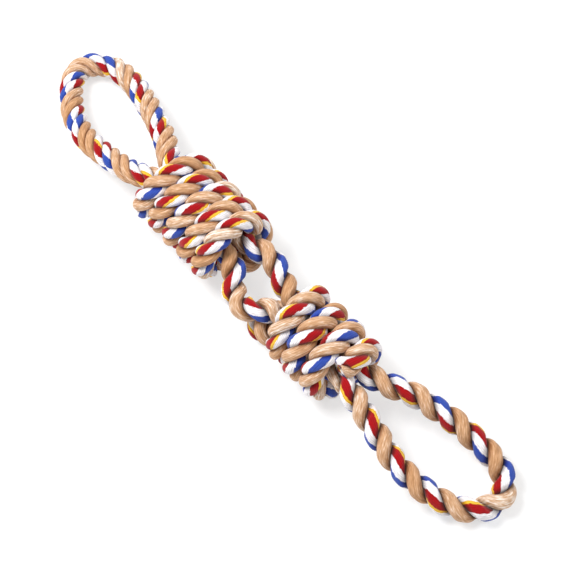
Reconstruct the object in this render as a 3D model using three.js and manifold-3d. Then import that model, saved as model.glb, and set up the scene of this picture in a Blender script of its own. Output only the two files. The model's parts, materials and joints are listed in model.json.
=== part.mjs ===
import * as THREE from "three";
import { mergeVertices } from "three/addons/utils/BufferGeometryUtils.js";
import Module from "manifold-3d";

// Rope dog toy: two ropes, each tied in a wound knot with a hand loop at the outer end.
// One leg of each rope crosses the bridge in the middle and is gripped inside the other knot.
// Millimetres, +Z up, +X from loop A to loop B, lying on the ground at z = 0.

// Rope
const ropeDiameter = 15;
const lieGap = 0.4; // between ropes that lie against each other
const seatGap = 0.3; // between two faces that meet
const ropeSides = 10;
const ropeStep = 7; // length of a straight facet on a free rope
const coreStep = 5; // the same inside a knot

// Knots: the rope is drawn thinner where a knot squeezes it
const knotARope = 12.6;
const knotAWrapGap = 0.6; // between neighbouring wraps
const knotATurns = 4;
const knotABridgeEnd = -16.1; // X of the knot's face at the bridge
const knotAAxisY = -5.75;
const knotBRope = 11.4;
const knotBWrapGap = 4.14;
const knotBTurns = 3;
const knotBBridgeEnd = 23.8;
const knotBAxisY = -8.25;
const flatShare = 0.1; // share of the rope's diameter that is pressed flat under a wrap
const wrapSteps = 24; // facets in one turn

// Winding, with angles in degrees about the knot's axis.
// Knot A's rope goes up over the core first, and knot B's goes down under it first.
const knotALanding = -10; // where the turn-back joins the first wrap
const knotALastPart = 198; // past the whole turns
const knotAReach = 13; // how far the turn-back is pulled out of the bridge's face
const knotASwing = 13; // and sideways where it joins the first wrap
const knotBLanding = -75;
const knotBLastPart = 170;
const knotBReach = 29;
const knotBSwing = 28;
const knotBDrop = 6; // it is pulled down as well, to pass under a bridge leg
const turnBackInset = 5; // the turn-back starts this far inside the bridge's face
const tailReach = 6; // how far the tucked tail's bend is pulled out
const knotATailDrop = 2.6; // the tail lies this much lower than its slot
const knotATailShift = -0.8; // along the knot from the last wrap to the tail
const knotBTailShift = 1.2;
const knotBTailSide = 3; // where the tail comes to lie on top of the core
const knotBTailLength = 3;

// Core: ropes side by side, turned by a third of a turn along the knot
const coreRopes = 3;
const coreStart = 1; // from the loop's face to where the ropes take their tracks
const throughAngle = 150;
const riserAngle = 30;
const slotAngle = 270;
const coreTwist = -120;
const coreTwistStart = 6; // straight at the loop's face
const coreTwistStop = 8; // straight before the turn-back
const twistRoom = 1.05; // slanted ropes need this much more room
const grippedLength = 34;

// Hinges: a round rope end turns in a hollow one
const hingeOut = 4.5; // from a knot's outer face to its loop's hinge
const hingeMargin = 1.9; // a hinge's radius is this much more than its rope's
const hingeSides = 48;

// Hand loops, as [out from the knot's loop face, sideways from its axis, height]
const loopARoute = [
  [15.6, 14.4, 27.5],
  [27.1, 19.7, 25.0],
  [41.6, 24.9, 21.9],
  [56.6, 28.9, 18.4],
  [71.6, 32.4, 14.8],
  [85.9, 33.0, 11.5],
  [98.4, 29.8, 9.1],
  [105.6, 21.6, 7.8],
  [106.4, 12.6, 7.5],
  [100.6, 4.6, 7.7],
  [93.6, -1.6, 8.7],
  [83.9, -7.8, 10.5],
  [71.6, -13.1, 13.3],
  [57.6, -16.0, 16.4],
  [42.1, -15.6, 19.9],
  [27.6, -14.4, 23.4],
  [14.6, -12.2, 26.9],
];
const loopBRoute = [
  [15.5, 12.9, 25.4],
  [27.8, 19.9, 23.2],
  [41.5, 24.9, 20.5],
  [55.5, 28.7, 17.6],
  [69.5, 30.9, 14.6],
  [82.0, 31.8, 12.0],
  [93.2, 31.3, 9.7],
  [101.5, 26.3, 8.1],
  [106.4, 17.9, 7.5],
  [104.3, 8.3, 7.7],
  [98.5, -0.4, 8.9],
  [89.5, -7.3, 10.7],
  [78.0, -11.5, 12.9],
  [65.5, -14.4, 15.3],
  [52.5, -14.8, 17.8],
  [40.0, -13.6, 20.3],
  [27.5, -11.3, 22.8],
  [16.5, -9.3, 25.1],
];

// Bridge legs, as [share of the way from knot A to knot B, sideways from the axes, height]
const leftLegRoute = [
  [0.18, 11.5, 30.1],
  [0.27, 13.3, 30.3],
  [0.37, 13.3, 30.2],
  [0.47, 12.2, 29.9],
  [0.57, 10.8, 29.4],
  [0.67, 9.5, 28.8],
  [0.77, 8.4, 28.1],
  [0.86, 7.7, 27.5],
];
const rightLegRoute = [
  [0.155, -10.7, 28.6],
  [0.24, -14.5, 26.8],
  [0.34, -17.7, 25.2],
  [0.47, -20.0, 24.2],
  [0.59, -20.4, 24.0],
  [0.71, -18.8, 24.4],
  [0.81, -15.2, 25.3],
  [0.88, -11.2, 26.3],
];
const legStraight = 2; // a bridge leg leaves its knot square for this length

const blockSize = 11 * ropeDiameter; // side of the blocks that trim rope ends
const hingeRadius = ropeDiameter / 2 + hingeMargin;

// Colours
const tan = "#c99c6c";
const paleTan = "#dcb68c";
const darkTan = "#ab7f52";

const wasm = await Module();
wasm.setup();

function solidOf(geometry) {
  const loose = geometry.index ? geometry.toNonIndexed() : geometry;
  const bare = new THREE.BufferGeometry();
  bare.setAttribute("position", loose.getAttribute("position"));
  const merged = mergeVertices(bare, 1e-4);
  return new wasm.Manifold(
    new wasm.Mesh({
      numProp: 3,
      vertProperties: merged.getAttribute("position").array,
      triVerts: new Uint32Array(merged.index.array),
    }),
  );
}

function namedMesh(name, solid, color) {
  const { vertProperties, triVerts } = solid.getMesh();
  const geometry = new THREE.BufferGeometry();
  geometry.setAttribute("position", new THREE.BufferAttribute(vertProperties, 3));
  geometry.setIndex(new THREE.BufferAttribute(triVerts, 1));
  geometry.computeVertexNormals();
  const material = new THREE.MeshStandardMaterial({ color, roughness: 0.95, metalness: 0 });
  const mesh = new THREE.Mesh(geometry, material);
  mesh.name = name;
  return mesh;
}

// A point beside the knot's axis, at an angle in degrees and a distance from it
function around(x, angle, radius) {
  const a = THREE.MathUtils.degToRad(angle);
  return new THREE.Vector3(x, radius * Math.cos(a), radius * Math.sin(a));
}

function smoothPath(points) {
  const path = new THREE.CatmullRomCurve3(points, false, "centripetal");
  path.arcLengthDivisions = 12 * points.length;
  return path;
}

function ropeAlong(path, diameter, step) {
  const section = new THREE.Shape();
  for (let i = 0; i < ropeSides; i++) {
    const a = (2 * Math.PI * i) / ropeSides;
    const x = (diameter / 2) * Math.cos(a);
    const y = (diameter / 2) * Math.sin(a);
    if (i === 0) section.moveTo(x, y);
    else section.lineTo(x, y);
  }
  const steps = Math.max(2, Math.round(path.getLength() / step));
  return solidOf(new THREE.ExtrudeGeometry(section, { extrudePath: path, steps, bevelEnabled: false }));
}

// A block that is larger than any rope end, for cutting
function cuttingBlock(x, y, z) {
  const block = new THREE.BoxGeometry(blockSize, blockSize, blockSize);
  block.translate(x, y, z);
  return solidOf(block);
}

// The space past the hinge's line, on the side that the sign gives
function blockBeyond(hinge, side) {
  return cuttingBlock(hinge.x + (side * blockSize) / 2, hinge.y, hinge.z);
}

// A round bar along Y through the hinge
function hingeBar(hinge, radius) {
  const bar = new THREE.CylinderGeometry(radius, radius, blockSize, hingeSides);
  bar.translate(hinge.x, hinge.y, hinge.z);
  return solidOf(bar);
}

// The carrying rope ends round at the hinge, and the swinging rope ends hollow around it
function roundEnd(rope, hinge, radius, side) {
  return rope.subtract(blockBeyond(hinge, side).subtract(hingeBar(hinge, radius)));
}

function hollowEnd(rope, hinge, radius, side) {
  return rope.subtract(blockBeyond(hinge, -side)).subtract(hingeBar(hinge, radius + seatGap));
}

// Sizes that follow from a knot's driving sizes, in the knot's own frame:
// x runs along its axis from the loop's face at 0 to the bridge's face at its length.
function knotSizes(rope, wrapGap, wholeTurns, lastPart, bridgeEnd, axisY, turned) {
  const pitch = rope + wrapGap;
  const turns = wholeTurns + lastPart / 360;
  const track = (twistRoom * (rope + lieGap)) / (2 * Math.sin(Math.PI / coreRopes));
  const wrap = track + rope + lieGap;
  const length = turns * pitch + rope;
  const height = wrap + (0.5 - flatShare) * rope;
  const toward = turned ? -1 : 1;
  const legSpread = (ropeDiameter + lieGap) / 2;
  const legRise = track * Math.sin(THREE.MathUtils.degToRad(riserAngle));
  const faceX = bridgeEnd - toward * length;
  return {
    rope, pitch, turns, track, wrap, length, height, turned, toward, legSpread, legRise,
    place: new THREE.Vector3(faceX, axisY, height),
    bridgeEnd, axisY,
    legZ: height + legRise,
    loopHinge: new THREE.Vector3(-hingeOut, 0, legRise),
  };
}

// One of the three core tracks at x, from its angle at the loop's face
function trackPoint(knot, startAngle, x) {
  const twistEnd = knot.length - knot.rope - coreTwistStop;
  const share = THREE.MathUtils.clamp((x - coreTwistStart) / (twistEnd - coreTwistStart), 0, 1);
  return around(x, startAngle + coreTwist * share, knot.track);
}

function coreTrack(knot, startAngle, from, to) {
  const count = Math.ceil((to - from) / coreStep);
  const points = [];
  for (let i = 0; i <= count; i++) {
    points.push(trackPoint(knot, startAngle, from + ((to - from) * i) / count));
  }
  return points;
}

// A leg inside the knot, with a straight stub that carries the loop's hinge
function coreLeg(knot, startAngle, to) {
  const side = Math.sign(Math.cos(THREE.MathUtils.degToRad(startAngle)));
  const stubEnd = -hingeOut - ropeDiameter;
  const points = [
    new THREE.Vector3(stubEnd, side * knot.legSpread, knot.legRise),
    new THREE.Vector3(-hingeOut, side * knot.legSpread, knot.legRise),
    ...coreTrack(knot, startAngle, coreStart, to),
  ];
  return roundEnd(ropeAlong(smoothPath(points), knot.rope, coreStep), knot.loopHinge, hingeRadius, -1);
}

// Height at which a rope across the core lies on the two ropes there
function onCore(knot, x, side) {
  const heights = [throughAngle, riserAngle].map((angle) => {
    const below = trackPoint(knot, angle, x);
    return below.z + Math.sqrt((knot.rope + 2 * lieGap) ** 2 - (side - below.y) ** 2);
  });
  return Math.max(...heights);
}

// The riser turns back at the bridge's face, winds over the core to the loop's face and is tucked in.
// The sense is 1 where the winding's angle grows and -1 where it falls.
function windingPath(knot, way) {
  const { rope, pitch, turns, track, wrap, length } = knot;
  const { sense, landingAngle, reach, swing, drop, tailShift, tailSide, tailHeight, tailLength } = way;
  const firstX = length - rope / 2;
  const lastTurned = 360 * turns;
  const wrapPoint = (turned) => around(firstX - (pitch * turned) / 360, landingAngle + sense * turned, wrap);
  const heading = (turned) => wrapPoint(turned + 1).sub(wrapPoint(turned - 1)).normalize();

  const slotTrack = track - lieGap / 2;
  const slot = around(length - turnBackInset, slotAngle, slotTrack);
  const landing = wrapPoint(0);
  const turnBack = new THREE.CubicBezierCurve3(
    slot,
    slot.clone().add(new THREE.Vector3(reach, 0, -drop)),
    landing.clone().addScaledVector(heading(0), -swing),
    landing,
  );
  const leaving = wrapPoint(lastTurned);
  const tuck = new THREE.Vector3(leaving.x + tailShift, tailSide, tailHeight);
  const tail = new THREE.CubicBezierCurve3(
    leaving,
    leaving.clone().addScaledVector(heading(lastTurned), tailReach),
    tuck.clone().add(new THREE.Vector3(0, -tailReach, 0)),
    tuck,
  );

  const points = [
    around(length - rope, slotAngle, slotTrack),
    ...turnBack.getPoints(12).slice(0, -1),
  ];
  const wrapCount = Math.round(turns * wrapSteps);
  for (let i = 0; i < wrapCount; i++) {
    points.push(wrapPoint((lastTurned * i) / wrapCount));
  }
  points.push(...tail.getPoints(6));
  points.push(tuck.clone().add(new THREE.Vector3(0, tailLength / 2, 0)));
  points.push(tuck.clone().add(new THREE.Vector3(0, tailLength, 0)));
  return smoothPath(points);
}

// Least gap between stretches of one rope that are more than two diameters apart along it
function leastGapToItself(path, diameter) {
  const points = path.getSpacedPoints(Math.round(path.getLength()));
  const apart = Math.ceil(2 * diameter);
  let least = Infinity;
  for (let i = 0; i < points.length; i++) {
    for (let j = i + apart; j < points.length; j++) {
      least = Math.min(least, points[i].distanceTo(points[j]));
    }
  }
  return least - diameter;
}

function winding(knot, way, name) {
  const path = windingPath(knot, way);
  const gap = leastGapToItself(path, knot.rope);
  const ropeLength = path.getLength();
  console.log(`${name}: ${ropeLength.toFixed(0)} mm of rope, least gap to itself ${gap.toFixed(2)} mm`);
  const rope = ropeAlong(path, knot.rope, (2 * Math.PI * knot.wrap) / wrapSteps);
  return rope.subtract(cuttingBlock(knot.length / 2, 0, -knot.height - blockSize / 2));
}

function knotGroup(knot, way, name) {
  const group = new THREE.Group();
  const riserEnd = knot.length - knot.rope - seatGap;
  const gripped = coreTrack(knot, slotAngle, knot.length - grippedLength, knot.length);
  const grippedRope = ropeAlong(smoothPath(gripped), knot.rope, coreStep);
  group.add(namedMesh(`${name}_winding`, winding(knot, way, `${name}_winding`), tan));
  group.add(namedMesh(`${name}_through_leg`, coreLeg(knot, throughAngle, knot.length), darkTan));
  group.add(namedMesh(`${name}_riser`, coreLeg(knot, riserAngle, riserEnd), paleTan));
  group.add(namedMesh(`${name}_gripped_end`, grippedRope, darkTan));
  group.position.copy(knot.place);
  group.rotation.z = knot.turned ? Math.PI : 0;
  return group;
}

// A hand loop, hinged on the two stubs of its knot
function handLoop(knot, route) {
  const outer = -knot.toward;
  const hinge = knot.loopHinge.clone();
  hinge.x *= knot.toward;
  hinge.add(knot.place);
  const mouth = (side) => new THREE.Vector3(hinge.x, knot.axisY + side * knot.legSpread, knot.legZ);
  const inner = route.map(([out, sideways, height]) => {
    return new THREE.Vector3(knot.place.x + outer * out, knot.axisY + sideways, height);
  });
  const path = smoothPath([mouth(1), ...inner, mouth(-1)]);
  return hollowEnd(ropeAlong(path, ropeDiameter, ropeStep), hinge, hingeRadius, outer);
}

// The path of a bridge leg, from one knot's face to the other's
function legPath(from, to, side, route) {
  const ends = [from, to].map((knot) => {
    const face = knot.bridgeEnd + knot.toward * seatGap;
    const y = knot.axisY + side * knot.legSpread;
    return [
      new THREE.Vector3(face, y, knot.legZ),
      new THREE.Vector3(face + knot.toward * legStraight, y, knot.legZ),
    ];
  });
  const inner = route.map(([share, sideways, height]) => {
    const x = THREE.MathUtils.lerp(from.bridgeEnd, to.bridgeEnd, share);
    const y = THREE.MathUtils.lerp(from.axisY, to.axisY, share);
    return new THREE.Vector3(x, y + sideways, height);
  });
  return smoothPath([...ends[0], ...inner, ...ends[1].reverse()]);
}

function heightAt(path, x) {
  const points = path.getSpacedPoints(Math.round(path.getLength()));
  return points.reduce((best, point) => (Math.abs(point.x - x) < Math.abs(best.x - x) ? point : best)).z;
}

// The bridge bends halfway, about one line for both legs: each leg's halves belong to the two knots
function bridgeLegs(from, to) {
  const paths = [legPath(from, to, 1, leftLegRoute), legPath(from, to, -1, rightLegRoute)];
  const middle = (from.bridgeEnd + to.bridgeEnd) / 2;
  const heights = paths.map((path) => heightAt(path, middle));
  const hinge = new THREE.Vector3(middle, (from.axisY + to.axisY) / 2, (heights[0] + heights[1]) / 2);
  const radius = hingeRadius + Math.abs(heights[0] - heights[1]) / 2;
  return paths.map((path) => {
    const rope = ropeAlong(path, ropeDiameter, ropeStep / 2);
    return { near: roundEnd(rope, hinge, radius, 1), far: hollowEnd(rope, hinge, radius, 1) };
  });
}

const knotA = knotSizes(
  knotARope, knotAWrapGap, knotATurns, knotALastPart, knotABridgeEnd, knotAAxisY, false,
);
const knotB = knotSizes(
  knotBRope, knotBWrapGap, knotBTurns, knotBLastPart, knotBBridgeEnd, knotBAxisY, true,
);
const knotAWay = {
  sense: 1,
  landingAngle: knotALanding,
  reach: knotAReach,
  swing: knotASwing,
  drop: 0,
  tailShift: knotATailShift,
  tailSide: -knotARope,
  tailHeight: -knotA.track - knotATailDrop,
  tailLength: knotARope,
};
const knotBWay = {
  sense: -1,
  landingAngle: knotBLanding,
  reach: knotBReach,
  swing: knotBSwing,
  drop: knotBDrop,
  tailShift: knotBTailShift,
  tailSide: knotBTailSide,
  tailHeight: onCore(knotB, knotBRope / 2 + knotBTailShift, knotBTailSide),
  tailLength: knotBTailLength,
};
const [leftLeg, rightLeg] = bridgeLegs(knotA, knotB);

const toy = new THREE.Group();
toy.name = "rope_dog_toy";
toy.add(knotGroup(knotA, knotAWay, "knot_a"));
toy.add(knotGroup(knotB, knotBWay, "knot_b"));
toy.add(namedMesh("loop_a", handLoop(knotA, loopARoute), paleTan));
toy.add(namedMesh("loop_b", handLoop(knotB, loopBRoute), paleTan));
toy.add(namedMesh("bridge_left_leg_a", leftLeg.near, tan));
toy.add(namedMesh("bridge_left_leg_b", leftLeg.far, tan));
toy.add(namedMesh("bridge_right_leg_a", rightLeg.near, tan));
toy.add(namedMesh("bridge_right_leg_b", rightLeg.far, tan));

export default toy;
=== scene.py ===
import json
import math

import bpy
import numpy as np
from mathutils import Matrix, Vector


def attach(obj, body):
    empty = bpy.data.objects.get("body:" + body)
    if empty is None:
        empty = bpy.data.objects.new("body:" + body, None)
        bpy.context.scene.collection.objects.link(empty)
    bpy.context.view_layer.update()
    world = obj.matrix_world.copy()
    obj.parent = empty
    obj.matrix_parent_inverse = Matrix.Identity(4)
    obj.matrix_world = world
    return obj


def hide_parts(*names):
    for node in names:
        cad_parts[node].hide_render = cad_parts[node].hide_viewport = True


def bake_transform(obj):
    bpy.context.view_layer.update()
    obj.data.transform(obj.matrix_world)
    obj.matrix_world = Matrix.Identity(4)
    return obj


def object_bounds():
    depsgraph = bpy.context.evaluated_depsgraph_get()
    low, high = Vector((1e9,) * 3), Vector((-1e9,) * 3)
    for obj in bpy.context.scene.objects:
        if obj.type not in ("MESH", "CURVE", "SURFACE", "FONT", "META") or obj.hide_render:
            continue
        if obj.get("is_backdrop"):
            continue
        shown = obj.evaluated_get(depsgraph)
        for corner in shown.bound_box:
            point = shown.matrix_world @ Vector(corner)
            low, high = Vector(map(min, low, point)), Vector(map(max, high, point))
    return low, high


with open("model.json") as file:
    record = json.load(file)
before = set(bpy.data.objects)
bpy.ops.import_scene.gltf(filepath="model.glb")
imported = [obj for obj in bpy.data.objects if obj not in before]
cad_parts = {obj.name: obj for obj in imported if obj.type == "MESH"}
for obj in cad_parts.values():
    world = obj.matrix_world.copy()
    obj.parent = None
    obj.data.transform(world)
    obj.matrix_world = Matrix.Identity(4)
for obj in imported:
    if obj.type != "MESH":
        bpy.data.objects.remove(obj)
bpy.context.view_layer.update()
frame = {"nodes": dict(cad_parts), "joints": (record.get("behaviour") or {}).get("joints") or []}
jointPlace = {joint["name"]: np.array(joint["pos_m"]) for joint in frame["joints"]}
mm = 0.001
print("frame loaded:", len(frame["nodes"]), "solids")


# Camera

cameraSettings = {
    "azimuth": 49, "elevation": 63,           # degrees round the toy and above the ground
    "distance": 1300 * mm,
    "lookAt": (13.4 * mm, 5.25 * mm, 15 * mm),  # in the middle of the picture
    "lens": 134.5, "sensor": 36,
}


def addCamera(settings):
    turn = math.radians(settings["azimuth"])
    rise = math.radians(settings["elevation"])
    back = Vector((math.sin(turn) * math.cos(rise), -math.cos(turn) * math.cos(rise), math.sin(rise)))
    data = bpy.data.cameras.new("photoCamera")
    data.lens = settings["lens"]
    data.sensor_width = settings["sensor"]
    camera = bpy.data.objects.new("photoCamera", data)
    camera.location = Vector(settings["lookAt"]) + back * settings["distance"]
    camera.rotation_mode = "QUATERNION"
    camera.rotation_quaternion = (-back).to_track_quat("-Z", "Y")
    bpy.context.scene.collection.objects.link(camera)
    bpy.context.scene.camera = camera


addCamera(cameraSettings)
print("camera placed")


# Twisted cotton rope: tan and striped strands, laid to the right. They press each other flat where they
# meet, so that each of two is about half a disc, and their yarns run along the rope on the outside.

ropeLay = {
    "diameter": 15.4 * mm,       # over the strands
    "strands": 2,                # a striped one and a tan one
    "alike": 1,                  # strands of one kind that lie side by side
    "pitchShare": 1.72,          # length of one turn of the lay over rope diameter
    "middle": 0.5,               # a strand's middle lies this far out, as a share of the rope's radius
    "outerHalf": 0.5,            # its reach outward, inward and sideways, also over the rope's radius
    "innerHalf": 0.53,
    "sideways": 0.69,
    "innerRound": [0.45, 0.6],   # its inner side, inward and sideways: 1 would be round and 0 square
    "yarnsAround": 8,            # yarns in a whole turn about the rope
    "yarnRun": [0.4, 0.9],       # tan and striped yarns: 0 is along the strand, 1 along the rope
    "yarnWander": 0.35,          # radians that the yarns stray from crown to crown
    "shuffle": [2.2, 2.7],       # how the yarns' order and their straying change from crown to crown
    "firstYarn": 402,            # on top of a crown, in the middle of the four dyed yarns
    "ropeYarns": 40,             # another rope, or strand, is this many yarns further on in the pattern
    "strandYarns": 1000,
    "yarnGroove": 0.045,         # depth between two striped yarns over rope radius
    "tanGroove": 0.015,          # the same on the tan strand, whose yarns hardly show
    "grooveWidth": 0.16,         # share of a yarn's width that falls into the groove
    "topSide": -math.pi / 2,     # white and red yarn meet on this side of the rope
    "top": (0.34, -0.30, 0.89),  # where that side of a rope on the ground points
    "sides": 56,                 # points round a strand
    "step": 1.1 * mm,            # length of one ring of faces
    "ground": 0.1 * mm,          # a rope that would reach lower is pressed flat
}


def smoothPath(points, step):
    # centripetal curve through the points, cut into equal steps
    points = np.array(points, float)
    padded = np.vstack([2 * points[0] - points[1], points, 2 * points[-1] - points[-2]])
    fineSteps, fewestSteps = 24, 8
    share = np.linspace(0, 1, fineSteps, endpoint=False)[:, None]
    parts = []
    for p0, p1, p2, p3 in zip(padded, padded[1:], padded[2:], padded[3:]):
        d0 = np.linalg.norm(p1 - p0) ** 0.5
        d1 = np.linalg.norm(p2 - p1) ** 0.5
        d2 = np.linalg.norm(p3 - p2) ** 0.5
        m1 = d1 * ((p1 - p0) / d0 - (p2 - p0) / (d0 + d1) + (p2 - p1) / d1)
        m2 = d1 * ((p2 - p1) / d1 - (p3 - p1) / (d1 + d2) + (p3 - p2) / d2)
        cubic = 2 * (p1 - p2) + m1 + m2
        square = 3 * (p2 - p1) - 2 * m1 - m2
        parts.append(p1 + share * m1 + share ** 2 * square + share ** 3 * cubic)
    dense = np.vstack(parts + [points[-1:]])
    along = np.r_[0, np.cumsum(np.linalg.norm(np.diff(dense, axis=0), axis=1))]
    even = np.linspace(0, along[-1], max(fewestSteps, round(along[-1] / step)) + 1)
    return np.column_stack([np.interp(even, along, dense[:, k]) for k in range(3)])


def relaxPath(path, rounds):
    # eases the bends that are too tight for a rope
    for easing in range(rounds):
        path[1:-1] = (path[:-2] + 2 * path[1:-1] + path[2:]) / 4
    return path


def unit(vectors):
    return vectors / np.linalg.norm(vectors, axis=-1, keepdims=True)


def smoothShare(values):
    share = np.clip(values, 0, 1)
    return share ** 2 * (3 - 2 * share)


def pathLength(path):
    return float(np.linalg.norm(np.diff(path, axis=0), axis=1).sum())


def strandOf(path, lay, number, seed, squeeze, top):
    # rings of points along one strand, and for each point the yarn that it lies on, whether that is tan,
    # and how far out in the rope it lies
    ahead = unit(np.gradient(path, axis=0))
    side = unit(np.cross(ahead, top))
    other = np.cross(ahead, side)
    along = np.r_[0, np.cumsum(np.linalg.norm(np.diff(path, axis=0), axis=1))]
    laid = along / (lay["pitchShare"] * lay["diameter"])
    turn = 2 * np.pi * (laid + number / lay["strands"])[:, None]
    outward = side * np.cos(turn) + other * np.sin(turn)
    sideways = other * np.cos(turn) - side * np.sin(turn)

    ring = 2 * np.pi * np.arange(lay["sides"]) / lay["sides"]
    c, s = np.cos(ring), np.sin(ring)
    inward, across = lay["innerRound"]
    x = lay["middle"] + np.where(c < 0, -lay["innerHalf"] * np.abs(c) ** inward, lay["outerHalf"] * c)
    y = lay["sideways"] * np.where(c < 0, np.sign(s) * np.abs(s) ** across, s)
    fromMiddle = np.arctan2(y, np.maximum(x, 0.05))

    fromTop = turn - lay["topSide"]
    crown = np.round(fromTop / (2 * np.pi))   # each crown has its own order of yarns, one way or the other
    half = number % lay["alike"]
    orderStep, strayStep = lay["shuffle"]
    order = np.sign(np.sin(orderStep * crown + seed + 2 * half))
    stray = lay["yarnWander"] * np.sin(strayStep * crown + 1.7 * seed + 2 * half)
    # tan and striped crowns follow each other
    striped = ((lay["strands"] * crown + number) // lay["alike"] + 1) % 2
    tanRun, stripedRun = lay["yarnRun"]
    turned = (tanRun + (stripedRun - tanRun) * striped) * (fromTop - 2 * np.pi * crown) + stray
    yarn = order * (turned + fromMiddle[None, :]) * lay["yarnsAround"] / (2 * np.pi)
    toBorder = np.abs(yarn - np.round(yarn))
    yarn = yarn + lay["yarnsAround"] * crown
    depth = lay["tanGroove"] + (lay["yarnGroove"] - lay["tanGroove"]) * striped
    groove = depth * np.exp(-((toBorder / lay["grooveWidth"]) ** 2))
    size = lay["diameter"] / 2 * squeeze[:, None] * (1 - groove)
    rings = path[:, None, :] + size[:, :, None] * (
        x[None, :, None] * outward[:, None, :] + y[None, :, None] * sideways[:, None, :]
    )
    # each strand is pressed flat at a height of its own, so that no two faces coincide
    rings[:, :, 2] = np.maximum(rings[:, :, 2], lay["ground"] * (1 + number / 4))
    tan = np.broadcast_to(1 - striped, yarn.shape)
    return rings, yarn, tan, np.broadcast_to(np.hypot(x, y), yarn.shape)


def addRope(name, path, lay, seed=0, squeeze=None, top=None):
    # squeeze is the rope's thickness at each point of the path, as a share of its free thickness
    squeeze = np.ones(len(path)) if squeeze is None else squeeze
    top = np.array(lay["top"]) if top is None else top
    sides = lay["sides"]
    points, faces, uvs, tans, depths = [], [], [], [], []
    base = 0
    for number in range(lay["strands"]):
        rings, yarn, tan, depth = strandOf(path, lay, number, seed, squeeze, top)
        count = len(rings)
        points += [rings.reshape(-1, 3), rings[[0, -1]].mean(axis=1)]
        tans += [tan.ravel(), tan[[0, -1], 0]]
        depth = depth.copy()
        depth[[0, -1]] = 1   # a cut end gets no painted crease shade
        depths += [depth.ravel(), [1, 1]]
        row = np.arange(count - 1)[:, None]
        col = np.arange(sides)[None, :]
        nextCol = (col + 1) % sides
        quads = np.stack([row * sides + col, row * sides + nextCol,
                          (row + 1) * sides + nextCol, (row + 1) * sides + col], axis=-1)
        faces.extend((quads.reshape(-1, 4) + base).tolist())
        across = yarn + lay["firstYarn"] + lay["ropeYarns"] * seed + lay["strandYarns"] * number
        lengths = np.broadcast_to((np.arange(count) * lay["step"] / mm)[:, None], yarn.shape)
        place = np.stack([across, lengths], axis=-1)
        corner = np.stack([place[:-1], np.roll(place[:-1], -1, axis=1),
                           np.roll(place[1:], -1, axis=1), place[1:]], axis=2)
        uvs.append(corner.reshape(-1, 2))
        startCap, endCap = base + count * sides, base + count * sides + 1
        last = base + (count - 1) * sides
        for k in range(sides):
            faces.append([startCap, base + (k + 1) % sides, base + k])
            faces.append([endCap, last + k, last + (k + 1) % sides])
            uvs.append(np.repeat(place[0, k][None], 3, axis=0))
            uvs.append(np.repeat(place[-1, k][None], 3, axis=0))
        base += count * sides + 2
    mesh = bpy.data.meshes.new(name)
    mesh.from_pydata(np.vstack(points).tolist(), [], faces)
    layer = mesh.uv_layers.new(name="yarnMap")
    layer.data.foreach_set("uv", np.vstack(uvs).astype(np.float32).ravel())
    for attribute, values in (("tanStrand", tans), ("layDepth", depths)):
        mesh.attributes.new(attribute, "FLOAT", "POINT").data.foreach_set("value", np.concatenate(values))
    mesh.polygons.foreach_set("use_smooth", np.ones(len(faces), bool))
    mesh.update()
    rope = bpy.data.objects.new(name, mesh)
    bpy.context.scene.collection.objects.link(rope)
    return rope


# Materials

def linearColour(code):
    parts = [int(code[k:k + 2], 16) / 255 for k in (1, 3, 5)]
    return [p / 12.92 if p <= 0.04045 else ((p + 0.055) / 1.055) ** 2.4 for p in parts] + [1]


def addNode(tree, kind, settings=None, **inputs):
    node = tree.nodes.new(kind)
    for name, value in (settings or {}).items():
        setattr(node, name, value)
    for name, value in inputs.items():
        socket = node.inputs[int(name[1:])] if name[1:].isdigit() else node.inputs[name.replace("_", " ")]
        if isinstance(value, bpy.types.NodeSocket):
            tree.links.new(value, socket)
        else:
            socket.default_value = value
    return node


def setRamp(node, stops, mode):
    ramp = node.color_ramp
    ramp.interpolation = mode
    while len(ramp.elements) < len(stops):
        ramp.elements.new(1)
    for element, (place, code) in zip(ramp.elements, stops):
        element.position = place
        element.color = linearColour(code)


cottonSettings = {
    # white, blue, red and yellow yarn, from a share of the four yarns' width on
    "stripes": [(0, "#f2eef0"), (0.05, "#2f4ba6"), (0.28, "#f2eef0"), (0.5, "#a0000a"), (0.73, "#e9b838"),
                (0.81, "#f2eef0")],
    "tans": [(0.2, "#bf8d61"), (0.45, "#cb9c74"), (0.6, "#d5ad8b"), (0.78, "#e5cfbb"), (0.95, "#f3ebe4")],
    "paleRun": 7,             # yarns over which a tan strand turns paler or darker
    "paleSway": 0.44,         # how much
    "creaseShadeTone": 0.34,       # painted shade between the strands
    "creaseGlow": 1.7,        # painted light: the dye's colour is deepened there, standing in for light thrown back and forth
    "creaseReach": [0.54, 0.92],   # the painted crease shade and deepening go from dark to clear over these shares of the rope's radius
    "fleckTone": [0.77, 1.09],     # darkest and lightest thread
    "threadsPerYarn": 5,      # about 1.2 mm wide
    "threadShade": 0.1,       # painted shade, darker between two threads
    "raggedBorder": 0.36,     # share of a yarn by which fibres cross into the next one
    "threadDepth": 0.25 * mm,
    "threadRidge": 0.22,      # share of the threads in that relief; the rest is fluff
    "fibresAcross": 10,       # in a yarn, so about 0.6 mm apart
    "fibresAlong": 0.44,      # in a mm, so about 2.3 mm long
    "streakLength": 4,        # mm, before a thread's shade changes
    "bloom": 0.15,            # loose fibre that shows pale at the edges
    "bloomSpread": 0.6,
    "gloss": 0.12,
    "roughness": 0.92,
}


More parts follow.
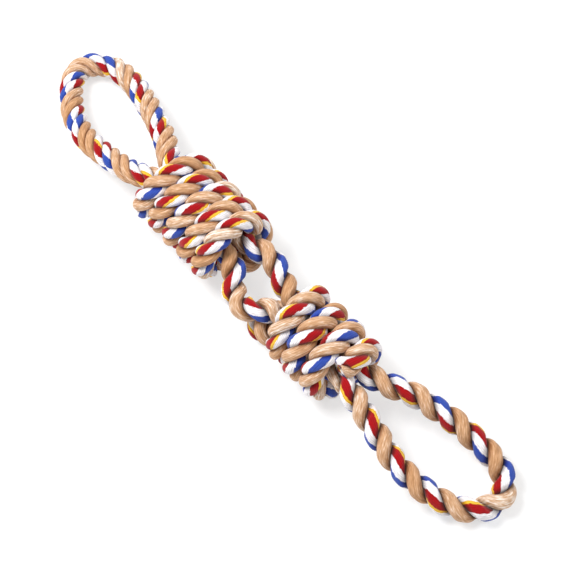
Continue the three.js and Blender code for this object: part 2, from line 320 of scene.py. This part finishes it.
def twistedCotton(settings):
    # Soft-spun cotton, dyed in the yarn: dull, with fine threads along each yarn and a pale bloom
    # of loose fibre
    material = bpy.data.materials.new("twistedCotton")
    material.use_nodes = True
    tree = material.node_tree
    tree.nodes.clear()
    place = addNode(tree, "ShaderNodeUVMap", {"uv_map": "yarnMap"})
    split = addNode(tree, "ShaderNodeSeparateXYZ", Vector=place.outputs[0])
    yarn, along = split.outputs[0], split.outputs[1]
    number = addNode(tree, "ShaderNodeMath", {"operation": "FLOOR"}, _0=yarn).outputs[0]
    inYarn = addNode(tree, "ShaderNodeMath", {"operation": "FRACT"}, _0=yarn).outputs[0]

    # fibre: grain drawn out along the threads
    across = addNode(tree, "ShaderNodeMath", {"operation": "MULTIPLY"}, _0=yarn, _1=settings["fibresAcross"])
    lengthways = addNode(tree, "ShaderNodeMath", {"operation": "MULTIPLY"},
                         _0=along, _1=settings["fibresAlong"])
    grainPlace = addNode(tree, "ShaderNodeCombineXYZ", _0=across.outputs[0], _1=lengthways.outputs[0])
    grain = addNode(tree, "ShaderNodeTexNoise", Vector=grainPlace.outputs[0], Scale=1.0, Detail=3.0)

    # which dyed yarn, of the four that follow each other; loose fibres make their borders ragged
    ragged = addNode(tree, "ShaderNodeMath", {"operation": "MULTIPLY_ADD"},
                     _0=grain.outputs[0], _1=settings["raggedBorder"], _2=yarn)
    quarter = addNode(tree, "ShaderNodeMath", {"operation": "MULTIPLY_ADD"},
                      _0=ragged.outputs[0], _1=0.25, _2=-settings["raggedBorder"] / 8).outputs[0]
    cycle = addNode(tree, "ShaderNodeMath", {"operation": "FRACT"}, _0=quarter).outputs[0]
    stripes = addNode(tree, "ShaderNodeValToRGB", Fac=cycle)
    setRamp(stripes, settings["stripes"], "CONSTANT")

    # threads: shallow ridges along the yarn, each with its own shade that changes slowly along it
    threadAt = addNode(tree, "ShaderNodeMath", {"operation": "MULTIPLY"},
                       _0=inYarn, _1=2 * math.pi * settings["threadsPerYarn"])
    wave = addNode(tree, "ShaderNodeMath", {"operation": "SINE"}, _0=threadAt.outputs[0])
    threadNumber = addNode(tree, "ShaderNodeMath", {"operation": "MULTIPLY"},
                           _0=yarn, _1=settings["threadsPerYarn"])
    threadRun = addNode(tree, "ShaderNodeMath", {"operation": "DIVIDE"},
                        _0=along, _1=settings["streakLength"])
    threadPlace = addNode(tree, "ShaderNodeCombineXYZ", _0=threadNumber.outputs[0], _1=threadRun.outputs[0])
    streak = addNode(tree, "ShaderNodeTexNoise", {"noise_dimensions": "2D"},
                     Vector=threadPlace.outputs[0], Scale=1.0, Detail=2.0, Roughness=0.6).outputs[0]

    # tan strand: streaked, in places paler
    runPlace = addNode(tree, "ShaderNodeMath", {"operation": "DIVIDE"}, _0=number, _1=settings["paleRun"])
    run = addNode(tree, "ShaderNodeTexNoise", {"noise_dimensions": "1D"},
                  W=runPlace.outputs[0], Scale=1.0, Detail=0.0).outputs[0]
    sway = addNode(tree, "ShaderNodeMapRange", _0=run, _1=0.25, _2=0.75,
                   _3=-settings["paleSway"] / 2, _4=settings["paleSway"] / 2)
    paleness = addNode(tree, "ShaderNodeMath", {"operation": "ADD"}, _0=streak, _1=sway.outputs[0])
    tans = addNode(tree, "ShaderNodeValToRGB", Fac=paleness.outputs[0])
    setRamp(tans, settings["tans"], "LINEAR")
    isTan = addNode(tree, "ShaderNodeAttribute", {"attribute_name": "tanStrand"}).outputs["Fac"]
    colour = addNode(tree, "ShaderNodeMix", {"data_type": "RGBA"},
                     _0=isTan, _6=stripes.outputs[0], _7=tans.outputs[0]).outputs[2]

    # tone: lighter and darker threads at random, painted shade between two threads, and painted shade in the
    # creases where the strands meet
    fleck = addNode(tree, "ShaderNodeMath", {"operation": "ADD"}, _0=streak, _1=grain.outputs[0])
    darkest, lightest = settings["fleckTone"]
    tone = addNode(tree, "ShaderNodeMapRange", _0=fleck.outputs[0],
                   _1=0.65, _2=1.35, _3=darkest, _4=lightest)
    depth = addNode(tree, "ShaderNodeAttribute", {"attribute_name": "layDepth"}).outputs["Fac"]
    dark, clear = settings["creaseReach"]
    # painted shade: the colour darkens towards the creases where the strands meet
    creaseShade = addNode(tree, "ShaderNodeMapRange", {"interpolation_type": "SMOOTHSTEP"},
                     _0=depth, _1=dark, _2=clear, _3=settings["creaseShadeTone"], _4=1.0)
    # painted shade: darker in the grooves between threads, lighter on their ridges
    threadTone = addNode(tree, "ShaderNodeMath", {"operation": "MULTIPLY_ADD"},
                         _0=wave.outputs[0], _1=settings["threadShade"], _2=tone.outputs[0])
    tones = addNode(tree, "ShaderNodeMath", {"operation": "MULTIPLY"},
                    _0=threadTone.outputs[0], _1=creaseShade.outputs[0])
    # painted light: the colour deepens in the creases, standing in for light thrown back and forth there
    glow = addNode(tree, "ShaderNodeMapRange", {"interpolation_type": "SMOOTHSTEP"},
                   _0=depth, _1=dark, _2=clear, _3=settings["creaseGlow"], _4=1.0)
    deepened = addNode(tree, "ShaderNodeGamma", Color=colour, Gamma=glow.outputs[0])
    toned = addNode(tree, "ShaderNodeMix", {"data_type": "RGBA", "blend_type": "MULTIPLY"},
                    _0=1.0, _6=deepened.outputs[0], _7=tones.outputs[0])

    # relief of threads and fluff
    height = addNode(tree, "ShaderNodeMath", {"operation": "MULTIPLY_ADD"},
                     _0=wave.outputs[0], _1=settings["threadRidge"], _2=grain.outputs[0])
    bump = addNode(tree, "ShaderNodeBump", Height=height.outputs[0], Strength=0.8,
                   Distance=settings["threadDepth"])
    shader = addNode(tree, "ShaderNodeBsdfPrincipled", Base_Color=toned.outputs[2],
                     Roughness=settings["roughness"], Normal=bump.outputs[0])
    shader.inputs["Specular IOR Level"].default_value = settings["gloss"]
    shader.inputs["Sheen Weight"].default_value = settings["bloom"]
    shader.inputs["Sheen Roughness"].default_value = settings["bloomSpread"]
    addNode(tree, "ShaderNodeOutputMaterial", Surface=shader.outputs[0])
    return material


cotton = twistedCotton(cottonSettings)


def dress(rope, *nodes):
    rope.data.materials.append(cotton)
    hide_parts(*nodes)


# Knots: three ropes side by side make the core, and the rope winds back over them

knotSettings = {
    "a": {"rope": 12.6 * mm, "wrapGap": 0.6 * mm, "turns": 4 + 198 / 360, "bridgeEnd": -16.1 * mm,
          "axisY": -5.75 * mm, "toward": 1, "wrapRope": 14.4 * mm,
          "sense": 1, "landingAngle": -10, "reach": 13 * mm, "swing": 13 * mm, "drop": 0,
          "tailShift": -0.8 * mm, "tailSide": -12.6 * mm, "tailHeight": -10.48 * mm, "tailLength": 12.6 * mm},
    "b": {"rope": 11.4 * mm, "wrapGap": 4.14 * mm, "turns": 3 + 170 / 360, "bridgeEnd": 23.8 * mm,
          "axisY": -8.25 * mm, "toward": -1, "wrapRope": 15.4 * mm,
          "sense": -1, "landingAngle": -75, "reach": 29 * mm, "swing": 28 * mm, "drop": 6 * mm,
          "tailShift": 1.2 * mm, "tailSide": 3 * mm, "tailHeight": 14.7 * mm, "tailLength": 3 * mm},
}
windSettings = {
    "flatShare": 0.1, "lieGap": 0.4 * mm, "twistRoom": 1.05, "turnBackInset": 5 * mm, "tailReach": 6 * mm,
    "throughAngle": 150, "riserAngle": 30, "slotAngle": 270,
    "coreTwist": -120, "coreTwistStart": 6 * mm, "coreTwistStop": 8 * mm,
    "grippedLength": 34 * mm, "ropeDiameter": 15 * mm,
    # where a rope is wound it shows more and slimmer crowns, and its yarns lie less evenly
    "lay": {"strands": 3, "pitchShare": 2.05, "middle": 0.53, "outerHalf": 0.47, "innerHalf": 0.48,
            "sideways": 0.57, "yarnWander": 0.6, "sides": 50},
    "thinStart": 0.88,        # the wound rope swells from this share of its thickness
    "swellLength": 70 * mm,
    "wobble": 1.2 * mm,       # wraps lie this much out of line
    "wobbleWaves": [13 * mm, 47 * mm],
    "swell": 0.05,            # and are this much thicker and thinner
    "swellWaves": [19 * mm, 31 * mm],
    "trackStep": 5 * mm,      # between the points of a rope's course through the core
    "wrapPoints": 24,         # in a turn
    "seeds": {"a": 5, "b": 6},
    "coreSeed": 7,
}


def knotSizes(knot, wind):
    sizes = dict(knot)
    sizes["pitch"] = knot["rope"] + knot["wrapGap"]
    sizes["track"] = wind["twistRoom"] * (knot["rope"] + wind["lieGap"]) / math.sqrt(3)
    sizes["wrap"] = sizes["track"] + knot["rope"] + wind["lieGap"]
    sizes["length"] = sizes["turns"] * sizes["pitch"] + knot["rope"]
    sizes["height"] = sizes["wrap"] + (0.5 - wind["flatShare"]) * knot["rope"]
    sizes["faceX"] = knot["bridgeEnd"] - knot["toward"] * sizes["length"]
    sizes["legSpread"] = (wind["ropeDiameter"] + wind["lieGap"]) / 2
    sizes["legRise"] = sizes["track"] * math.sin(math.radians(wind["riserAngle"]))
    return sizes


def around(x, angle, radius):
    turn = math.radians(angle)
    return np.array((x, radius * math.cos(turn), radius * math.sin(turn)))


def toToy(points, knot):
    # from a knot's own frame, where x runs from the loop's face to the bridge's, to the toy's
    turned = np.array(points) * (knot["toward"], knot["toward"], 1)
    return turned + (knot["faceX"], knot["axisY"], knot["height"])


def bezier(a, b, c, d, count):
    t = np.linspace(0, 1, count + 1)[:, None]
    return (1 - t) ** 3 * a + 3 * (1 - t) ** 2 * t * b + 3 * (1 - t) * t ** 2 * c + t ** 3 * d


def windingPoints(knot, wind):
    rope, pitch, turns = knot["rope"], knot["pitch"], knot["turns"]
    track, wrap, length = knot["track"] - wind["lieGap"] / 2, knot["wrap"], knot["length"]

    def wrapPoint(turned):
        x = length - rope / 2 - pitch * turned / 360
        return around(x, knot["landingAngle"] + knot["sense"] * turned, wrap)

    def heading(turned):
        return unit(wrapPoint(turned + 1) - wrapPoint(turned - 1))

    slot = around(length - wind["turnBackInset"], wind["slotAngle"], track)
    landing = wrapPoint(0)
    turnBack = bezier(slot, slot + (knot["reach"], 0, -knot["drop"]),
                      landing - knot["swing"] * heading(0), landing, 12)
    leaving = wrapPoint(360 * turns)
    tuck = np.array((leaving[0] + knot["tailShift"], knot["tailSide"], knot["tailHeight"]))
    tail = bezier(leaving, leaving + wind["tailReach"] * heading(360 * turns),
                  tuck - (0, wind["tailReach"], 0), tuck, 6)
    count = round(turns * wind["wrapPoints"])
    wraps = [wrapPoint(360 * turns * k / count) for k in range(count)]
    tailEnd = [tuck + (0, knot["tailLength"] * share, 0) for share in (0.5, 1)]
    return [around(length - rope, wind["slotAngle"], track), *turnBack[:-1], *wraps, *tail, *tailEnd]


def trackPoints(knot, wind, startAngle, start, end):
    twistEnd = knot["length"] - knot["rope"] - wind["coreTwistStop"]
    points = []
    for x in np.linspace(start, end, max(3, round((end - start) / wind["trackStep"]))):
        share = (x - wind["coreTwistStart"]) / (twistEnd - wind["coreTwistStart"])
        points.append(around(x, startAngle + wind["coreTwist"] * min(max(share, 0), 1), knot["track"]))
    return points


knots = {name: knotSizes(settings, windSettings) for name, settings in knotSettings.items()}


# Free ropes: the hand loops and the two legs of the bridge

# out from the knot's loop face, sideways from its axis, height, in mm
loopRoutes = {
    "a": [(15.6, 14.4, 27.5), (27.1, 19.7, 25.0), (41.6, 24.9, 21.9), (56.6, 28.9, 18.4), (71.6, 32.4, 14.8),
          (85.9, 33.0, 11.5), (98.4, 29.8, 9.1), (105.6, 21.6, 7.8), (106.4, 12.6, 7.5), (100.6, 4.6, 7.7),
          (93.6, -1.6, 8.7), (83.9, -7.8, 10.5), (71.6, -13.1, 13.3), (57.6, -16.0, 16.4),
          (42.1, -15.6, 19.9), (27.6, -14.4, 23.4), (14.6, -12.2, 26.9)],
    "b": [(15.5, 12.9, 25.4), (27.8, 19.9, 23.2), (41.5, 24.9, 20.5), (55.5, 28.7, 17.6), (69.5, 30.9, 14.6),
          (82.0, 31.8, 12.0), (93.2, 31.3, 9.7), (101.5, 26.3, 8.1), (106.4, 17.9, 7.5), (104.3, 8.3, 7.7),
          (98.5, -0.4, 8.9), (89.5, -7.3, 10.7), (78.0, -11.5, 12.9), (65.5, -14.4, 15.3),
          (52.5, -14.8, 17.8), (40.0, -13.6, 20.3), (27.5, -11.3, 22.8), (16.5, -9.3, 25.1)],
}
# share of the way from knot a to knot b, then sideways from the axes and height in mm
legRoutes = {
    "left": [(0.18, 11.5, 30.1), (0.27, 13.3, 30.3), (0.37, 13.3, 30.2), (0.47, 12.2, 29.9),
             (0.57, 10.8, 29.4), (0.67, 9.5, 28.8), (0.77, 8.4, 28.1), (0.86, 7.7, 27.5)],
    "right": [(0.155, -10.7, 28.6), (0.24, -14.5, 26.8), (0.34, -17.7, 25.2), (0.47, -20.0, 24.2),
              (0.59, -20.4, 24.0), (0.71, -18.8, 24.4), (0.81, -15.2, 25.3), (0.88, -11.2, 26.3)],
}
squeezeDepth = 8 * mm   # a rope is squeezed to its thinner size this far inside a knot


def squeezeAlong(path, pair):
    # thinner inside the knots of the pair, where the wraps press on the rope
    size = np.ones(len(path))
    for knot in pair:
        outer = (knot["faceX"] - path[:, 0]) * knot["toward"]
        inner = (path[:, 0] - knot["bridgeEnd"]) * knot["toward"]
        depth = smoothShare(-np.maximum(outer, inner) / squeezeDepth)
        thin = knot["rope"] / ropeLay["diameter"]
        size *= 1 - (1 - thin) * depth
    return size


def trackInKnot(knot, angleName, start, end):
    points = trackPoints(knot, windSettings, windSettings[angleName], start, end)
    return list(toToy(points, knot))


loopSettings = {
    "intoKnot": 20 * mm, "inset": 1 * mm, "bendIn": 9 * mm, "bendOut": 13 * mm, "relax": 16,
    "seeds": {"a": 1, "b": 2},
    # in loop A each strand shows its two halves
    "lay": {"a": {"strands": 4, "alike": 2, "pitchShare": 2.2, "middle": 0.56, "outerHalf": 0.44,
                  "innerHalf": 0.5, "sideways": 0.5, "yarnWander": 0.7},
            "b": {"pitchShare": 1.75}},
}


def addLoop(name, settings):
    knot = knots[name]
    hinge = jointPlace["loop_" + name + "_fold"]
    outside = np.array((knot["faceX"], knot["axisY"], 0))
    route = [outside + np.array(point) * (-knot["toward"] * mm, mm, mm) for point in loopRoutes[name]]
    ends = {}
    for angleName in ("throughAngle", "riserAngle"):
        inside = trackInKnot(knot, angleName, settings["inset"], settings["intoKnot"])
        side = math.copysign(1, inside[0][1] - knot["axisY"])
        ends[side] = [hinge + (0, side * knot["legSpread"], 0), *inside]
    path = relaxPath(smoothPath(ends[1][::-1] + route + ends[-1], ropeLay["step"]), settings["relax"])
    loopLay = dict(ropeLay, **settings["lay"][name])
    rope = addRope("hand_loop_" + name, path, loopLay, seed=settings["seeds"][name],
                   squeeze=squeezeAlong(path, [knot]))
    dress(rope, "loop_" + name)
    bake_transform(rope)
    print("hand loop", name, "is", round(pathLength(path) / mm), "mm of rope")


legSettings = {
    "straight": 2 * mm, "inset": 2 * mm, "bend": 14 * mm, "relax": 40,
    "intoKnot": 20 * mm,     # at the end that goes on through the knot
    "seeds": {"left": 3, "right": 4},
}


def addLeg(name, side, settings):
    ends = []
    for knot in (knots["a"], knots["b"]):
        outward = np.array((knot["toward"], 0, 0))
        face = np.array((knot["bridgeEnd"], knot["axisY"] + side * knot["legSpread"],
                         knot["height"] + knot["legRise"]))
        goesThrough = side * knot["toward"] > 0
        angleName = "throughAngle" if goesThrough else "slotAngle"
        depth = settings["intoKnot"] if goesThrough else windSettings["grippedLength"]
        inside = trackInKnot(knot, angleName, knot["length"] - depth, knot["length"] - settings["inset"])
        ends.append([*inside, face, face + outward * settings["straight"]])
    axisStart, axisEnd = (np.array((knots[k]["bridgeEnd"], knots[k]["axisY"], 0)) for k in "ab")
    route = [axisStart + (axisEnd - axisStart) * share + (0, sideways * mm, height * mm)
             for share, sideways, height in legRoutes[name]]
    path = relaxPath(smoothPath(ends[0] + route + ends[1][::-1], ropeLay["step"]), settings["relax"])
    rope = addRope("bridge_" + name + "_leg", path, ropeLay, seed=settings["seeds"][name],
                   squeeze=squeezeAlong(path, knots.values()))
    holder = "b" if side > 0 else "a"
    dress(rope, "bridge_" + name + "_leg_a", "bridge_" + name + "_leg_b", "knot_" + holder + "_gripped_end")
    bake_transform(rope)
    print("bridge leg", name, "is", round(pathLength(path) / mm), "mm of rope")


for name in ("a", "b"):
    addLoop(name, loopSettings)
for name, side in (("left", 1), ("right", -1)):
    addLeg(name, side, legSettings)


# Wound knots

def addWinding(name):
    knot, wind = knots[name], windSettings
    path = smoothPath(toToy(windingPoints(knot, wind), knot), ropeLay["step"])
    along = np.arange(len(path)) * ropeLay["step"]
    shortWave, longWave = wind["wobbleWaves"]
    path[:, 0] += wind["wobble"] * np.sin(along / shortWave) * np.sin(along / longWave)
    outward = path - (0, knot["axisY"], knot["height"])
    outward[:, 0] = 0
    thin = wind["thinStart"]
    wrapLay = dict(ropeLay, diameter=knot["wrapRope"], **wind["lay"])
    thickness = thin + (1 - thin) * smoothShare(along / wind["swellLength"])
    shortWave, longWave = wind["swellWaves"]
    thickness *= 1 + wind["swell"] * np.sin(along / shortWave) * np.sin(along / longWave)
    rope = addRope("knot_" + name + "_wraps", path, wrapLay, seed=wind["seeds"][name],
                   squeeze=thickness, top=unit(outward))
    dress(rope, "knot_" + name + "_winding")
    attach(rope, "knot_" + name)
    print("knot", name, "is wound from", round(pathLength(path) / mm), "mm of rope")


def addCore(name):
    # the two ropes that go on inside the knot, between the pieces that come out of it
    knot = knots[name]
    coreLay = dict(ropeLay, diameter=knot["rope"])
    runs = {"through_leg": ("throughAngle", knot["length"] - legSettings["intoKnot"]),
            "riser": ("riserAngle", knot["length"] - knot["rope"])}
    for number, (piece, (angleName, end)) in enumerate(runs.items()):
        path = smoothPath(trackInKnot(knot, angleName, loopSettings["intoKnot"], end), ropeLay["step"])
        rope = addRope("knot_" + name + "_core_" + piece, path, coreLay,
                       seed=windSettings["coreSeed"] + number)
        dress(rope, "knot_" + name + "_" + piece)
        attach(rope, "knot_" + name)


for name in ("a", "b"):
    addWinding(name)
    addCore(name)
print("knots wound")


# Floor and light

floorSettings = {
    "size": 12, "drop": 0.1 * mm, "colour": "#fbfbfb",
    "glow": 0.6,              # share of the picture's white that doesn't depend on the lamps
}


def addFloor(settings):
    bpy.ops.object.select_all(action="DESELECT")
    lowest = min(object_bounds()[0].z, 0)
    bpy.ops.mesh.primitive_plane_add(size=settings["size"], location=(0, 0, lowest - settings["drop"]))
    floor = bpy.context.object
    floor.name = "studio_floor"
    floor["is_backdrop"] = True
    # an even, dull sheet that is lit from behind a little
    material = bpy.data.materials.new("matteWhitePaper")
    material.use_nodes = True
    tree = material.node_tree
    tree.nodes.clear()
    path = addNode(tree, "ShaderNodeLightPath")
    glow = addNode(tree, "ShaderNodeMath", {"operation": "MULTIPLY"},
                   _0=path.outputs["Is Camera Ray"], _1=settings["glow"])
    diffuse = addNode(tree, "ShaderNodeBsdfDiffuse", Color=linearColour(settings["colour"]))
    white = addNode(tree, "ShaderNodeEmission", Color=(1, 1, 1, 1), Strength=1.0)
    paper = addNode(tree, "ShaderNodeMixShader",
                    _0=glow.outputs[0], _1=diffuse.outputs[0], _2=white.outputs[0])
    addNode(tree, "ShaderNodeOutputMaterial", Surface=paper.outputs[0])
    floor.data.materials.append(material)


lightSettings = {
    "world": 0.33,
    "lamps": [
        {"name": "keyLamp", "place": (-0.7, -0.5, 1.5), "size": 0.7, "power": 33},
        {"name": "fillLamp", "place": (1.1, 0.9, 1.6), "size": 1.4, "power": 19},
    ],
}


def addLight(settings):
    world = bpy.data.worlds.new("studioWorld")
    bpy.context.scene.world = world
    world.use_nodes = True
    tree = world.node_tree
    tree.nodes.clear()
    path = addNode(tree, "ShaderNodeLightPath")
    seen = addNode(tree, "ShaderNodeMath", {"operation": "MAXIMUM"},
                   _0=path.outputs["Is Camera Ray"], _1=path.outputs["Is Glossy Ray"])
    strength = addNode(tree, "ShaderNodeMapRange", _0=seen.outputs[0], _3=settings["world"], _4=1.0)
    back = addNode(tree, "ShaderNodeBackground", Color=(1, 1, 1, 1), Strength=strength.outputs[0])
    addNode(tree, "ShaderNodeOutputWorld", Surface=back.outputs[0])
    for lamp in settings["lamps"]:
        data = bpy.data.lights.new(lamp["name"], "AREA")
        data.size = lamp["size"]
        data.energy = lamp["power"]
        light = bpy.data.objects.new(lamp["name"], data)
        light.location = lamp["place"]
        light.rotation_mode = "QUATERNION"
        light.rotation_quaternion = (-Vector(lamp["place"])).to_track_quat("-Z", "Y")
        bpy.context.scene.collection.objects.link(light)


addFloor(floorSettings)
addLight(lightSettings)
bpy.context.scene.view_settings.view_transform = "Standard"
print("floor and light set")
